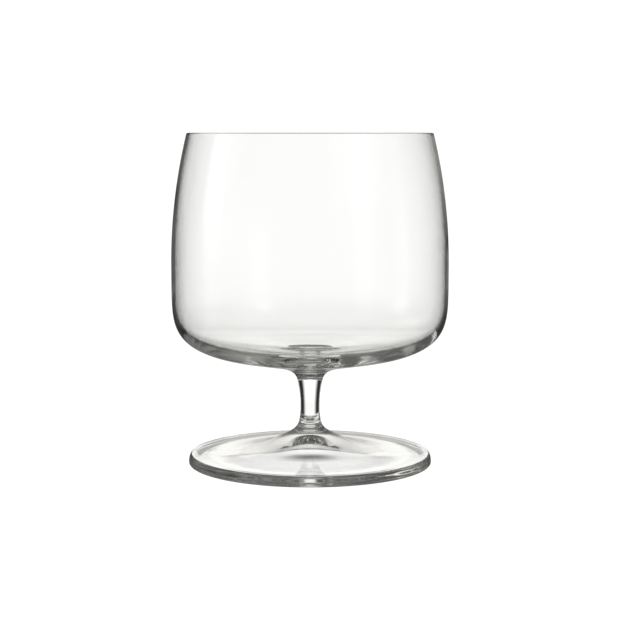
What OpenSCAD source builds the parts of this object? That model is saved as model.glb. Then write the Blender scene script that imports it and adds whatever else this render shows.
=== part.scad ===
// Brandy snifter: a blown bowl on a short drawn stem and a round pressed foot, all in clear glass.
// Millimetres. The origin is on the table under the centre of the foot, and Z is the axis of the glass.

/* [Bowl] */
// Height of the bowl, from its seam with the stem up to the rim
bowl_h = 85.6; // [65:0.1:110]
// Outside diameter of the mouth
mouth_d = 85; // [60:0.5:110]
// Outside diameter of the belly, the widest part
belly_d = 96; // [80:0.5:120]
// Height of the belly above the seam with the stem
belly_h = 40.3; // [28:0.1:55]
// Height above the seam where the rounded base would close, if no neck were drawn out of it
base_h = 5.9; // [3:0.1:12]
// How late the upper wall turns in towards the mouth
side_curve = 2; // [1.5:0.1:4]
// How square the corner is between the wall and the base
corner_curve = 5.4; // [2:0.1:8]
// How flat the base is
base_curve = 2.6; // [1.6:0.1:5]

/* [Bowl wall] */
// Thickness of the rim
rim_wall = 1; // [0.6:0.05:2]
// Thickness of the wall at the belly
belly_wall = 1.15; // [0.7:0.05:2.5]
// Thickness of the base, between the two heights where the outside and the inside would close
base_wall = 3.4; // [2:0.1:8]
// How square the inside corner is
inside_corner_curve = 5.5; // [2:0.1:7]
// How flat the inside of the base is
inside_base_curve = 3.4; // [1.6:0.1:5]
// Diameter of the floor, which dips towards the stem
floor_d = 60; // [40:1:70]
// Depth of the dip in the floor
floor_dip = 3; // [0:0.1:3.5]

/* [Neck under the bowl] */
// Diameter at the seam between the bowl and the stem
neck_d = 8.9; // [7:0.1:14]
// Diameter on the base where the neck starts to be drawn out
neck_start_d = 58; // [40:1:70]
// How far the base keeps its own direction into the neck
neck_base_reach = 18; // [4:0.5:20]
// How far the stem keeps its own direction into the neck
neck_stem_reach = 4.5; // [1:0.1:5]

/* [Stem] */
// Length of the stem between its two seams
stem_l = 14.4; // [8:0.1:60]
// Diameter of the waist, the thinnest part
waist_d = 6.7; // [4:0.1:6.9]
// Height of the waist above the seam with the foot
waist_h = 4.5; // [2:0.1:7]
// How late the stem widens above and below its waist
stem_curve = 2.3; // [1.5:0.1:4]

/* [Foot] */
// Diameter of the foot
foot_d = 84.8; // [70:0.1:110]
// Thickness of the rounded edge
edge_t = 3.7; // [3:0.1:6]
// Radius of the edge's underside, from the resting ring up to the widest part
edge_under_r = 0.8; // [0.5:0.1:2.4]
// Width of the edge's shoulder, from the widest part in to the sloping top
edge_shoulder_w = 1.1; // [0.8:0.1:4]
// Height of the foot, from the table up to its seam with the stem
foot_h = 15; // [13:0.1:22]
// Diameter at the seam between the foot and the stem
hub_d = 7.5; // [7:0.1:12]
// Height that the sloping top would gain at the axis
slope_rise = 12.6; // [4:0.1:14]
// How hollow the sloping top is, from edge to centre
slope_curve = 2.8; // [1.5:0.1:4]
// Diameter on the sloping top where the hub starts
hub_start_d = 19.5; // [16:0.5:36]
// How far the stem keeps its own direction into the hub
hub_stem_reach = 3.4; // [0.5:0.1:4]
// How far the sloping top keeps its own direction into the hub
hub_slope_reach = 2.8; // [0.5:0.1:3]
// Depth of the hollow under the foot
hollow_depth = 6.4; // [1:0.1:7]
// How late the hollow rises towards its centre
hollow_curve = 3.7; // [1.5:0.1:5]
// How round the hollow is at its centre
hollow_middle = 1.5; // [1.2:0.1:3]
// Height of the lip where the hollow starts, inside the resting ring
lip_h = 0.65; // [0:0.05:1]
// How steep the lip is
lip_curve = 17; // [4:0.5:24]
// Width of the flat ring that the glass rests on
rest_ring_w = 2.1; // [1:0.1:6]

/* [Hidden] */
$fn = 128;
wall_steps = 20;
corner_steps = 30;
floor_steps = 14;
hollow_steps = 40;
blend_steps = 16;
arc_steps = 12;
glass = "whitesmoke";
glass_alpha = 0.5;

stem_z = foot_h;
bowl_z = foot_h + stem_l;
belly_z = bowl_z + belly_h;
rim_z = bowl_z + bowl_h;
base_z = bowl_z + base_h;
inside_z = base_z + base_wall;
belly_r = belly_d / 2;
inside_r = belly_r - belly_wall;
inside_depth = belly_z - inside_z;
floor_r = floor_d / 2;
neck_r = neck_d / 2;
neck_start_r = neck_start_d / 2;
waist_r = waist_d / 2;
hub_r = hub_d / 2;
hub_start_r = hub_start_d / 2;
foot_r = foot_d / 2;
edge_centre_r = foot_r - edge_under_r;
rest_ring_r = edge_centre_r - rest_ring_w;
slope_r = foot_r - edge_shoulder_w;
shoulder_h = edge_t - edge_under_r;

// The rim leans with the upper wall, so its half round starts and ends square to the wall
rim_r = rim_wall / 2;
rim_slope = side_curve * (belly_d - mouth_d) / 2 / (bowl_h - belly_h);
rim_lean = atan(rim_slope);
rim_square = [cos(rim_lean), sin(rim_lean)];
rim_outside = [mouth_d / 2, rim_z - rim_r + rim_r * rim_square.y];
rim_centre = rim_outside - rim_r * rim_square;
rim_inside = rim_centre - rim_r * rim_square;

function arc(centre, radius, from, to, steps) =
    [for (i = [0 : steps]) let (a = from + (to - from) * i / steps) centre + radius * [cos(a), sin(a)]];

function blend(p, steps) =
    [for (i = [0 : steps]) let (t = i / steps, s = 1 - t)
        s * s * s * p[0] + 3 * s * s * t * p[1] + 3 * s * t * t * p[2] + t * t * t * p[3]];

function unit(v) = v / norm(v);

// The wall above the belly, from its end at the rim down to the belly
function upper_wall(rim, belly) =
    [for (i = [0 : wall_steps - 1]) let (t = 1 - i / wall_steps)
        [belly.x - (belly.x - rim.x) * pow(t, side_curve), belly.y + (rim.y - belly.y) * t]];

// The wall below the belly, as part of a rounded square corner that would close on the axis.
// The angle grows with the square of the step, which spreads the points along the curve.
function lower_wall(belly, depth, corner, base, last_angle) =
    [for (i = [0 : corner_steps]) let (a = last_angle * pow(i / corner_steps, 2))
        [belly.x * pow(cos(a), 2 / base), belly.y - depth * pow(sin(a), 2 / corner)]];

// Where the inside corner meets the floor, and the height of the floor at a radius
floor_angle = acos(sqrt(pow(floor_r / inside_r, inside_base_curve)));
function floor_z(r) = belly_z
    - inside_depth * pow(1 - pow(r / inside_r, inside_base_curve), 1 / inside_corner_curve)
    - floor_dip * pow(1 - pow(r / floor_r, 2), 2);

// Where the neck leaves the outside of the base, and the slope there
neck_share = pow(neck_start_r / belly_r, base_curve);
neck_angle = acos(sqrt(neck_share));
base_depth = belly_z - base_z;
neck_start = [neck_start_r, belly_z - base_depth * pow(1 - neck_share, 1 / corner_curve)];
neck_start_slope = base_depth * base_curve / corner_curve * neck_share / neck_start_r
    * pow(1 - neck_share, 1 / corner_curve - 1);

// The stem's radius at a height above its seam with the foot
function stem_r(h) = h < waist_h
    ? waist_r + (hub_r - waist_r) * pow((waist_h - h) / waist_h, stem_curve)
    : waist_r + (neck_r - waist_r) * pow((h - waist_h) / (stem_l - waist_h), stem_curve);

// The stem's own directions at its two seams, which the neck and the hub carry on
neck_up = unit([stem_curve * (neck_r - waist_r) / (stem_l - waist_h), 1]);
hub_down = unit([stem_curve * (hub_r - waist_r) / waist_h, -1]);

// Height of the foot's sloping top and of the hollow below it, at a radius
function slope_z(r) = edge_t + slope_rise * pow(1 - r / slope_r, slope_curve);
function hollow_z(r) = lip_h * (1 - pow(r / rest_ring_r, lip_curve))
    + hollow_depth * pow(1 - pow(r / rest_ring_r, hollow_middle), hollow_curve);

hub_start = [hub_start_r, slope_z(hub_start_r)];
hub_start_slope = -slope_rise * slope_curve / slope_r
    * pow(1 - hub_start_r / slope_r, slope_curve - 1);

module bowl() {
    neck_end = [neck_r, bowl_z];
    color(glass, glass_alpha)
    rotate_extrude()
    polygon(concat(
        arc(rim_centre, rim_r, 180 + rim_lean, rim_lean, arc_steps),
        [for (i = [1 : wall_steps - 1]) upper_wall(rim_outside, [belly_r, belly_z])[i]],
        lower_wall([belly_r, belly_z], base_depth, corner_curve, base_curve, neck_angle),
        [for (i = [1 : blend_steps]) blend([
            neck_start,
            neck_start - neck_base_reach * unit([1, neck_start_slope]),
            neck_end + neck_stem_reach * neck_up,
            neck_end], blend_steps)[i]],
        [[0, bowl_z]],
        [for (i = [0 : floor_steps - 1]) let (r = floor_r * i / floor_steps) [r, floor_z(r)]],
        [for (i = [corner_steps : -1 : 0])
            lower_wall([inside_r, belly_z], inside_depth,
                inside_corner_curve, inside_base_curve, floor_angle)[i]],
        [for (i = [wall_steps - 1 : -1 : 1]) upper_wall(rim_inside, [inside_r, belly_z])[i]]));
}

module stem() {
    color(glass, glass_alpha)
    translate([0, 0, stem_z])
    rotate_extrude()
    polygon(concat(
        [[0, 0]],
        [for (i = [0 : blend_steps]) let (h = waist_h * i / blend_steps) [stem_r(h), h]],
        [for (i = [1 : blend_steps]) let (h = waist_h + (stem_l - waist_h) * i / blend_steps) [stem_r(h), h]],
        [[0, stem_l]]));
}

module foot() {
    hub_end = [hub_r, foot_h];
    color(glass, glass_alpha)
    rotate_extrude()
    polygon(concat(
        [for (i = [0 : hollow_steps]) let (r = rest_ring_r * i / hollow_steps) [r, hollow_z(r)]],
        arc([edge_centre_r, edge_under_r], edge_under_r, -90, 0, arc_steps),
        [for (i = [1 : arc_steps]) let (a = 90 * i / arc_steps)
            [slope_r + edge_shoulder_w * cos(a), edge_under_r + shoulder_h * sin(a)]],
        [for (i = [1 : wall_steps]) let (r = slope_r + (hub_start_r - slope_r) * i / wall_steps)
            [r, slope_z(r)]],
        [for (i = [1 : blend_steps]) blend([
            hub_start,
            hub_start - hub_slope_reach * unit([1, hub_start_slope]),
            hub_end + hub_stem_reach * hub_down,
            hub_end], blend_steps)[i]],
        [[0, foot_h]]));
}

bowl();
stem();
foot();
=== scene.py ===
import math
from collections import namedtuple

import bmesh
import bpy
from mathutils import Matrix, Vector


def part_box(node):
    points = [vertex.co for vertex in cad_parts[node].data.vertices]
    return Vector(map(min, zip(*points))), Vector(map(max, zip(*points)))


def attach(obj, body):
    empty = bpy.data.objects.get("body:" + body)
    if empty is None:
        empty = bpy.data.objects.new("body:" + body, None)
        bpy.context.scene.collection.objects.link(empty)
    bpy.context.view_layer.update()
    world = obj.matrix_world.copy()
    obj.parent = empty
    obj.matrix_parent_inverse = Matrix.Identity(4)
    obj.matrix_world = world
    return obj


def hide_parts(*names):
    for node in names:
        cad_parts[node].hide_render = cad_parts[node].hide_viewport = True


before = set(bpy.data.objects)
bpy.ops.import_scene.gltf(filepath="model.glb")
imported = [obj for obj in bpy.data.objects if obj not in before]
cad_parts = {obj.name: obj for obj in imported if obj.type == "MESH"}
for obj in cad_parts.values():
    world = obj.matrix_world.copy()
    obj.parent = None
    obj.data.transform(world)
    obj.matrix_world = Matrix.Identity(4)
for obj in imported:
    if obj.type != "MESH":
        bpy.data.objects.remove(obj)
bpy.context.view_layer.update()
scene = bpy.context.scene

# Sizes, in metres, of what the frame's boxes don't give
MM = 0.001
MOUTH_R = 42.5 * MM
BASE_H = 5.9 * MM
BELLY_H = 40.3 * MM
SIDE_CURVE = 2.0
CORNER_CURVE = 5.4
BASE_CURVE = 2.6
RIM_WALL = 1.0 * MM
BELLY_WALL = 1.15 * MM
BASE_WALL = 3.4 * MM
INSIDE_CORNER_CURVE = 5.5
INSIDE_BASE_CURVE = 3.4
FLOOR_R = 30.0 * MM
FLOOR_DIP = 3.0 * MM
NECK_START_R = 29.0 * MM
NECK_BASE_REACH = 18.0 * MM
NECK_STEM_REACH = 4.5 * MM
WAIST_R = 3.35 * MM
WAIST_H = 4.5 * MM
HUB_R = 3.75 * MM
STEM_CURVE = 2.3
EDGE_T = 3.7 * MM
EDGE_UNDER_R = 0.8 * MM
EDGE_SHOULDER_W = 1.1 * MM
SLOPE_RISE = 12.6 * MM
SLOPE_CURVE = 2.8
HUB_START_R = 9.75 * MM
HUB_STEM_REACH = 3.4 * MM
HUB_SLOPE_REACH = 2.8 * MM
HOLLOW_DEPTH = 6.4 * MM
HOLLOW_CURVE = 3.7
HOLLOW_MIDDLE = 1.5
LIP_H = 0.65 * MM
LIP_CURVE = 17.0
REST_RING_W = 2.1 * MM

# Waves in the skin of the glass
WAVE_LENGTH = 14.0 * MM
WAVE_HEIGHT = 0.08 * MM
WAVE_DETAIL = 1.5

# Steps along an outline and round the axis, and how close two points count as one
WALL_STEPS = 40
CORNER_STEPS = 80
BLEND_STEPS = 40
RIM_STEPS = 16
ROUND_STEPS = 192
SAME_PLACE = 1e-7

# Sizes and heights that the frame gives
bowl_low, bowl_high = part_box("bowl")
stem_low, stem_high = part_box("stem")
foot_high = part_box("foot")[1]
BELLY_R = bowl_high.x
NECK_R = stem_high.x
FOOT_R = foot_high.x
HUB_Z = stem_low.z
NECK_Z = bowl_low.z
RIM_Z = bowl_high.z
BELLY_Z = NECK_Z + BELLY_H
BASE_Z = NECK_Z + BASE_H
INSIDE_Z = BASE_Z + BASE_WALL
STEM_L = NECK_Z - HUB_Z


def fractions(steps, first=0):
    """Even fractions up to 1, from 0 or from a later step."""
    return [i / steps for i in range(first, steps + 1)]


def arc(centre, radius, start, end, steps):
    """A round stretch between two angles, with both its ends."""
    turns = [start + (end - start) * t for t in fractions(steps)]
    return [centre + radius * Vector((math.cos(a), math.sin(a))) for a in turns]


def blend(p, steps):
    """A cubic curve on four points, without its first point."""
    return [(1 - t) ** 3 * p[0] + 3 * (1 - t) ** 2 * t * p[1] + 3 * (1 - t) * t * t * p[2] + t ** 3 * p[3]
            for t in fractions(steps, 1)]


def upper_wall(rim, belly):
    """From just under the rim down to just above the belly."""
    drawn_in = belly.x - rim.x
    height = rim.y - belly.y
    shares = [1 - t for t in fractions(WALL_STEPS, 1)[:-1]]
    return [Vector((belly.x - drawn_in * t ** SIDE_CURVE, belly.y + height * t)) for t in shares]


def lower_wall(belly, depth, corner, base, last):
    """From the belly down a rounded square corner. The angle grows with the square of the step."""
    turns = [last * t * t for t in fractions(CORNER_STEPS)]
    return [Vector((belly.x * max(math.cos(a), 0) ** (2 / base),
                    belly.y - depth * math.sin(a) ** (2 / corner))) for a in turns]


def stem_r(h):
    """The stem's radius at a height over the hub, thinnest at the waist."""
    if h < WAIST_H:
        return WAIST_R + (HUB_R - WAIST_R) * ((WAIST_H - h) / WAIST_H) ** STEM_CURVE
    return WAIST_R + (NECK_R - WAIST_R) * ((h - WAIST_H) / (STEM_L - WAIST_H)) ** STEM_CURVE


def bowl_outline():
    """From the seam out under the base, up the outside, over the rim and down the inside to the middle."""
    lean = math.atan(SIDE_CURVE * (BELLY_R - MOUTH_R) / (RIM_Z - BELLY_Z))
    across = Vector((math.cos(lean), math.sin(lean)))
    rim_r = RIM_WALL / 2
    outside = Vector((MOUTH_R, RIM_Z - rim_r + rim_r * across.y))
    centre = outside - rim_r * across
    inside = centre - rim_r * across
    belly = Vector((BELLY_R, BELLY_Z))
    inside_belly = Vector((BELLY_R - BELLY_WALL, BELLY_Z))
    depth = BELLY_Z - BASE_Z
    share = (NECK_START_R / BELLY_R) ** BASE_CURVE
    steepness = share / NECK_START_R * (1 - share) ** (1 / CORNER_CURVE - 1)
    slope = depth * BASE_CURVE / CORNER_CURVE * steepness
    inwards = -Vector((1, slope)).normalized()
    start = Vector((NECK_START_R, BELLY_Z - depth * (1 - share) ** (1 / CORNER_CURVE)))
    end = Vector((NECK_R, NECK_Z))
    up = Vector((STEM_CURVE * (NECK_R - WAIST_R) / (STEM_L - WAIST_H), 1)).normalized()
    neck = blend([start, start + NECK_BASE_REACH * inwards, end + NECK_STEM_REACH * up, end], BLEND_STEPS)
    inside_depth = BELLY_Z - INSIDE_Z

    def floor_z(r):
        closed = (1 - (r / inside_belly.x) ** INSIDE_BASE_CURVE) ** (1 / INSIDE_CORNER_CURVE)
        return BELLY_Z - inside_depth * closed - FLOOR_DIP * (1 - (r / FLOOR_R) ** 2) ** 2

    base_turn = math.acos(math.sqrt(share))
    floor_turn = math.acos(math.sqrt((FLOOR_R / inside_belly.x) ** INSIDE_BASE_CURVE))
    floor = [Vector((r, floor_z(r))) for r in [FLOOR_R * (1 - t) for t in fractions(WALL_STEPS, 1)]]
    return (
        [Vector((0, NECK_Z))]
        + list(reversed(neck))
        + list(reversed(lower_wall(belly, depth, CORNER_CURVE, BASE_CURVE, base_turn)))
        + list(reversed(upper_wall(outside, belly)))
        + arc(centre, rim_r, lean, math.pi + lean, RIM_STEPS)
        + upper_wall(inside, inside_belly)
        + lower_wall(inside_belly, inside_depth, INSIDE_CORNER_CURVE, INSIDE_BASE_CURVE, floor_turn)
        + floor
    )


def stem_outline():
    """From the hub's seam up over the waist to the neck's seam."""
    below = [WAIST_H * t for t in fractions(BLEND_STEPS)]
    above = [WAIST_H + (STEM_L - WAIST_H) * t for t in fractions(BLEND_STEPS, 1)]
    side = [Vector((stem_r(h), HUB_Z + h)) for h in below + above]
    return [Vector((0, HUB_Z))] + side + [Vector((0, NECK_Z))]


def foot_outline():
    """From the middle of the hollow out to the edge, and up the slope and the hub to the seam."""
    ring_r = FOOT_R - EDGE_UNDER_R - REST_RING_W
    top_r = FOOT_R - EDGE_SHOULDER_W
    shoulder_h = EDGE_T - EDGE_UNDER_R

    def hollow_z(r):
        middle = HOLLOW_DEPTH * (1 - (r / ring_r) ** HOLLOW_MIDDLE) ** HOLLOW_CURVE
        return middle + LIP_H * (1 - (r / ring_r) ** LIP_CURVE)

    def slope_z(r):
        return EDGE_T + SLOPE_RISE * (1 - r / top_r) ** SLOPE_CURVE

    under = [Vector((r, hollow_z(r))) for r in [ring_r * t for t in fractions(WALL_STEPS)]]
    edge_centre = Vector((FOOT_R - EDGE_UNDER_R, EDGE_UNDER_R))
    round_edge = arc(edge_centre, EDGE_UNDER_R, -math.pi / 2, 0, RIM_STEPS)
    quarter = [math.pi / 2 * t for t in fractions(RIM_STEPS, 1)]
    shoulder = [Vector((top_r + EDGE_SHOULDER_W * math.cos(a), EDGE_UNDER_R + shoulder_h * math.sin(a)))
                for a in quarter]
    slope_radii = [top_r + (HUB_START_R - top_r) * t for t in fractions(WALL_STEPS, 1)]
    top = [Vector((r, slope_z(r))) for r in slope_radii]
    slope = -SLOPE_RISE * SLOPE_CURVE / top_r * (1 - HUB_START_R / top_r) ** (SLOPE_CURVE - 1)
    start = top[-1]
    inwards = -Vector((1, slope)).normalized()
    end = Vector((HUB_R, HUB_Z))
    down = Vector((STEM_CURVE * (HUB_R - WAIST_R) / WAIST_H, -1)).normalized()
    hub = blend([start, start + HUB_SLOPE_REACH * inwards, end + HUB_STEM_REACH * down, end], BLEND_STEPS)
    return under + round_edge + shoulder + top + hub + [Vector((0, HUB_Z))]


def revolve(name, outline, seams, materials):
    """Spins an outline of (radius, height) about Z, with flat fused seams at the given heights."""
    bm = bmesh.new()
    chain = [bm.verts.new((p.x, 0, p.y)) for p in outline]
    edges = [bm.edges.new(pair) for pair in zip(chain, chain[1:])]
    bmesh.ops.spin(bm, geom=chain + edges, cent=(0, 0, 0), axis=(0, 0, 1), angle=2 * math.pi,
                   steps=ROUND_STEPS, use_merge=True)
    bmesh.ops.remove_doubles(bm, verts=bm.verts, dist=SAME_PLACE)
    bmesh.ops.recalc_face_normals(bm, faces=bm.faces)
    for face in bm.faces:
        on_seam = any(all(abs(v.co.z - z) < SAME_PLACE for v in face.verts) for z in seams)
        face.smooth = not on_seam
        face.material_index = 1 if on_seam else 0
    for edge in bm.edges:
        edge.smooth = len({f.material_index for f in edge.link_faces}) == 1
    mesh = bpy.data.meshes.new(name)
    bm.to_mesh(mesh)
    bm.free()
    for material in materials:
        mesh.materials.append(material)
    piece = bpy.data.objects.new(name, mesh)
    scene.collection.objects.link(piece)
    return piece


def linear(hex_colour, alpha=1.0):
    """A linear colour from an sRGB hex value."""
    parts = [int(hex_colour[i:i + 2], 16) / 255 for i in (1, 3, 5)]
    return [c / 12.92 if c <= 0.04045 else ((c + 0.055) / 1.055) ** 2.4 for c in parts] + [alpha]


def add(tree, kind, settings=None, **inputs):
    """Adds a node with its settings and links. An input goes by its name, or by its number as in0, and
    takes a value, a socket, or a node for its first output."""
    node = tree.nodes.new(kind)
    for name, value in (settings or {}).items():
        setattr(node, name, value)
    for name, value in inputs.items():
        numbered = name.startswith("in")
        socket = node.inputs[int(name[2:])] if numbered else node.inputs[name.replace("_", " ")]
        if isinstance(value, bpy.types.Node):
            value = value.outputs[0]
        if isinstance(value, bpy.types.NodeSocket):
            tree.links.new(value, socket)
        else:
            socket.default_value = value
    return node


def clear_glass():
    """Blown soda-lime glass, fire polished: clear to the eye, with a mirror-smooth skin. The hot skin sets in
    slow waves, so highlights and bent lines run a little uneven instead of ruler straight."""
    material = bpy.data.materials.new("soda_lime_glass_fire_polished")
    material.use_nodes = True
    tree = material.node_tree
    place = add(tree, "ShaderNodeTexCoord")
    waves = add(tree, "ShaderNodeTexNoise", Vector=place.outputs["Object"],
                Scale=1 / WAVE_LENGTH, Detail=WAVE_DETAIL)
    skin = add(tree, "ShaderNodeBump", Height=waves, Distance=WAVE_HEIGHT)
    shader = tree.nodes["Principled BSDF"]
    shader.inputs["Base Color"].default_value = linear("#fefefd")
    shader.inputs["Roughness"].default_value = 0.0
    shader.inputs["IOR"].default_value = 1.52
    shader.inputs["Transmission Weight"].default_value = 1.0
    tree.links.new(skin.outputs["Normal"], shader.inputs["Normal"])
    return material


def fused_seam():
    """Where two hot pieces were joined: the glass is one there, so the eye sees no face between them."""
    material = bpy.data.materials.new("fused_glass_seam")
    material.use_nodes = True
    shader = material.node_tree.nodes["Principled BSDF"]
    shader.inputs["Alpha"].default_value = 0.0
    return material


glass = clear_glass()
seam = fused_seam()
for name, outline, seams in (
    ("bowl", bowl_outline(), [NECK_Z]),
    ("stem", stem_outline(), [HUB_Z, NECK_Z]),
    ("foot", foot_outline(), [HUB_Z]),
):
    piece = revolve(name + "_glass", outline, seams, [glass, seam])
    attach(piece, "root")
    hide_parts(name)

# Studio. Each patch of the surroundings has the turn of its middle from straight behind the glass, half its
# width, its lowest and highest rise and the softness of its sides and ends, all in degrees, and its level of
# light, where 1 is the picture's white. ALL_ROUND and TOP reach past the full circle and the zenith.
Patch = namedtuple("Patch", "turn half low high soft_side soft_end level")
ALL_ROUND = 190
TOP = 100
WHITE = 1.08

# What the glass only bends: a white table, a brighter backdrop and a dim ceiling
TABLE = 1.06
BACKDROP = Patch(0, ALL_ROUND, -7, TOP, 5, 5, 1.17)
CEILING = Patch(0, ALL_ROUND, 24, TOP, 5, 12, 0.3)
SEEN_THROUGH = [BACKDROP, CEILING]

# Black cards, by their turn, half width, lowest and highest rise. They flank the white for each side the
# glass is seen from and draw its dark outlines, lower down for an eye that looks down. The low one at turn 0
# also draws the line of the rim.
BLACK = 0.012
CARD_SOFT_SIDE = 9.5
CARD_SOFT_END = 2
STANDING_CARDS = [(45, 20.5, -46, 15), (-45, 20.5, -17, 15), (-135, 20.5, -19, 15)]
LOW_CARDS = [(90, 17, -40, -14), (180, 17, -40, -14), (0, 20, -60, -26), (-90, 17, -60, -24)]
for card in STANDING_CARDS + LOW_CARDS:
    SEEN_THROUGH.append(Patch(*card, CARD_SOFT_SIDE, CARD_SOFT_END, BLACK))

# What the glass mirrors: a dim room that is lighter at the glass's own height and from the table, darker on
# the walls above, and dark behind the camera
ROOM = 0.12
OWN_HEIGHT = Patch(0, ALL_ROUND, -22, 8, 5, 16, 0.27)
WALLS_ABOVE = Patch(0, ALL_ROUND, 12, 46, 5, 8, 0.04)
TABLE_BELOW = Patch(0, ALL_ROUND, -TOP, -36, 5, 16, 0.24)
BEHIND_CAMERA = Patch(180, 45, -40, 40, 20, 20, 0.08)
MIRRORED = [OWN_HEIGHT, WALLS_ABOVE, TABLE_BELOW, BEHIND_CAMERA]

# A strip of light straight behind the glass, brightest in its heart, with a darker wall round its lower part
# and a grey one round its upper part
WALL_BELOW = Patch(0, 34, -38, 1, 8, 10, 0.09)
WALL_BESIDE = Patch(0, 24, 1, 34, 10, 10, 0.3)
STRIP_ENDS = Patch(0, 8, -19, 33, 4.5, 8, 0.36)
STRIP_MIDDLE = Patch(0, 8, 1, 30, 4.5, 8, 0.7)
STRIP_HEART = Patch(0, 8, 6, 25, 4.5, 6, 1.0)

# Each side the glass is seen from has its strip, by its turn and how far it is moved up. Level faces of the
# glass mirror the heart to the eye, so it stands higher for an eye that looks down. All walls lie under all
# strips.
STRIPS = [(0, 0), (-90, -3), (-45, 19), (135, 9)]
for layer in ([WALL_BELOW, WALL_BESIDE], [STRIP_ENDS, STRIP_MIDDLE, STRIP_HEART]):
    for turn, up in STRIPS:
        for patch in layer:
            MIRRORED.append(patch._replace(turn=turn, low=patch.low + up, high=patch.high + up))


def surroundings(tree, turn, rise, level, patches):
    """Lays soft patches over a plain level, one over another."""
    soft = {"interpolation_type": "SMOOTHSTEP"}
    for patch in patches:
        away = add(tree, "ShaderNodeMath", {"operation": "SUBTRACT"}, in0=turn, in1=math.radians(patch.turn))
        short = add(tree, "ShaderNodeMath", {"operation": "WRAP"}, in0=away, in1=math.pi, in2=-math.pi)
        off = add(tree, "ShaderNodeMath", {"operation": "ABSOLUTE"}, in0=short)
        cover = add(tree, "ShaderNodeMapRange", soft, Value=off, To_Min=1, To_Max=0,
                    From_Min=math.radians(patch.half - patch.soft_side),
                    From_Max=math.radians(patch.half + patch.soft_side))
        for end, inside, outside in ((patch.low, 1, 0), (patch.high, 0, 1)):
            within = add(tree, "ShaderNodeMapRange", soft, Value=rise, To_Min=outside, To_Max=inside,
                         From_Min=math.radians(end - patch.soft_end / 2),
                         From_Max=math.radians(end + patch.soft_end / 2))
            cover = add(tree, "ShaderNodeMath", {"operation": "MULTIPLY"}, in0=cover, in1=within)
        level = add(tree, "ShaderNodeMix", {"data_type": "FLOAT"}, Factor=cover, A=level, B=patch.level)
    return level


def studio_world():
    """Plain white to the camera. The glass sees the table and cards through it, and mirrors a warmer room."""
    world = bpy.data.worlds.new("studio")
    world.use_nodes = True
    tree = world.node_tree
    tree.nodes.clear()
    number = {"data_type": "FLOAT"}
    place = add(tree, "ShaderNodeTexCoord")
    parts = add(tree, "ShaderNodeSeparateXYZ", Vector=place.outputs["Generated"])
    east, north, up = parts.outputs
    turn = add(tree, "ShaderNodeMath", {"operation": "ARCTAN2"}, in0=east, in1=north)
    rise = add(tree, "ShaderNodeMath", {"operation": "ARCSINE"}, in0=up)
    seen_through = surroundings(tree, turn, rise, TABLE, SEEN_THROUGH)
    mirrored = surroundings(tree, turn, rise, ROOM, MIRRORED)
    path = add(tree, "ShaderNodeLightPath")
    to_camera = path.outputs["Is Camera Ray"]
    once = add(tree, "ShaderNodeMath", {"operation": "MINIMUM"}, in0=path.outputs["Glossy Depth"], in1=1)
    in_glass = add(tree, "ShaderNodeMix", number, Factor=once, A=seen_through, B=mirrored)
    level = add(tree, "ShaderNodeMix", number, Factor=to_camera, A=in_glass, B=WHITE)
    tint = add(tree, "ShaderNodeMix", {"data_type": "RGBA"}, Factor=once,
               in6=linear("#ffffff"), in7=linear("#fffefa"))
    sky = add(tree, "ShaderNodeBackground", Color=tint.outputs[2], Strength=level)
    add(tree, "ShaderNodeOutputWorld", Surface=sky)
    return world


scene.world = studio_world()

# The table: a wide white round for the camera, and a small soft shadow painted under the stem, a glow that
# darkens towards its middle, for the glass to bend
FLOOR_ROUND_R = 3.0
FLOOR_Z = -0.4 * MM
SHADE_Z = -0.3 * MM
SHADE_R = 14.5 * MM
SHADE_CORE_R = 1 * MM
SHADE_CORE = 0.25
DISC_SIDES = 96


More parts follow.
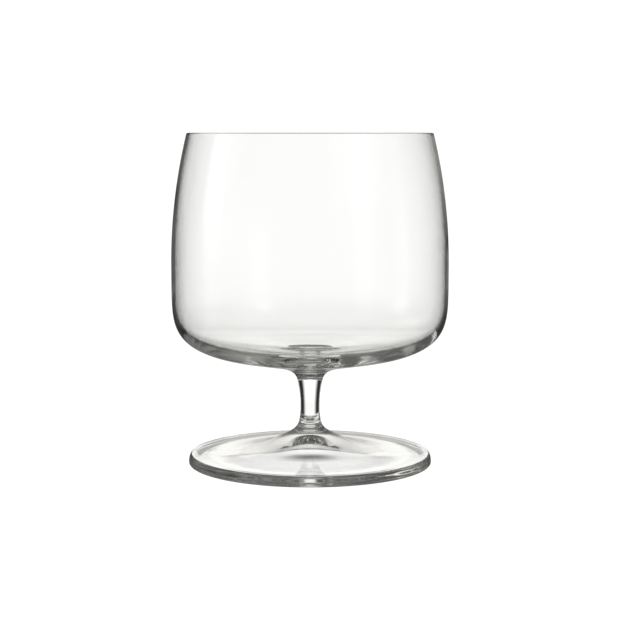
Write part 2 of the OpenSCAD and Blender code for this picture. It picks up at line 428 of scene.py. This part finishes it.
def disc(name, radius, height, core):
    """A round of the table that glows white, and fades to its core level towards the middle. A core under
    white paints a soft shadow into the glow.
    """
    bm = bmesh.new()
    bmesh.ops.create_circle(bm, cap_ends=True, radius=radius, segments=DISC_SIDES)
    bmesh.ops.translate(bm, vec=(0, 0, height), verts=bm.verts)
    mesh = bpy.data.meshes.new(name)
    bm.to_mesh(mesh)
    bm.free()
    made = bpy.data.objects.new(name, mesh)
    scene.collection.objects.link(made)
    material = bpy.data.materials.new(name)
    material.use_nodes = True
    tree = material.node_tree
    tree.nodes.clear()
    place = add(tree, "ShaderNodeTexCoord")
    out = add(tree, "ShaderNodeVectorMath", {"operation": "LENGTH"}, in0=place.outputs["Object"])
    # Painted shadow: the glow falls from white at the rim to the core level in the middle
    level = add(tree, "ShaderNodeMapRange", {"interpolation_type": "SMOOTHSTEP"}, Value=out.outputs["Value"],
                From_Min=SHADE_CORE_R, From_Max=SHADE_R, To_Min=core, To_Max=WHITE)
    glow = add(tree, "ShaderNodeEmission", Color=linear("#ffffff"), Strength=level)
    add(tree, "ShaderNodeOutputMaterial", Surface=glow)
    mesh.materials.append(material)
    return made


floor = disc("floor", FLOOR_ROUND_R, FLOOR_Z, WHITE)
floor.visible_glossy = False
floor.visible_transmission = False
# A painted shadow of the stem under the foot: hidden from the camera and from mirrored rays, and seen through
# the glass
shade = disc("foot_shade", SHADE_R, SHADE_Z, SHADE_CORE)
shade.visible_camera = False
shade.visible_glossy = False

# Camera at the photograph's distance, height and tilt
CAMERA_DISTANCE = 560 * MM
EYE_HEIGHT = 115 * MM
TILT_DOWN = math.radians(6.25)
LENS = 94.0
camera = bpy.data.objects.new("camera", bpy.data.cameras.new("camera"))
scene.collection.objects.link(camera)
camera.data.lens = LENS
camera.location = (0, -CAMERA_DISTANCE, EYE_HEIGHT)
camera.rotation_euler = (math.pi / 2 - TILT_DOWN, 0, 0)
scene.camera = camera

# Light passes many faces of clear glass before it reaches the eye
GLASS_BOUNCES = 32
scene.view_settings.view_transform = "Standard"
scene.cycles.max_bounces = GLASS_BOUNCES
scene.cycles.transmission_bounces = GLASS_BOUNCES
scene.cycles.glossy_bounces = GLASS_BOUNCES
scene.cycles.transparent_max_bounces = GLASS_BOUNCES
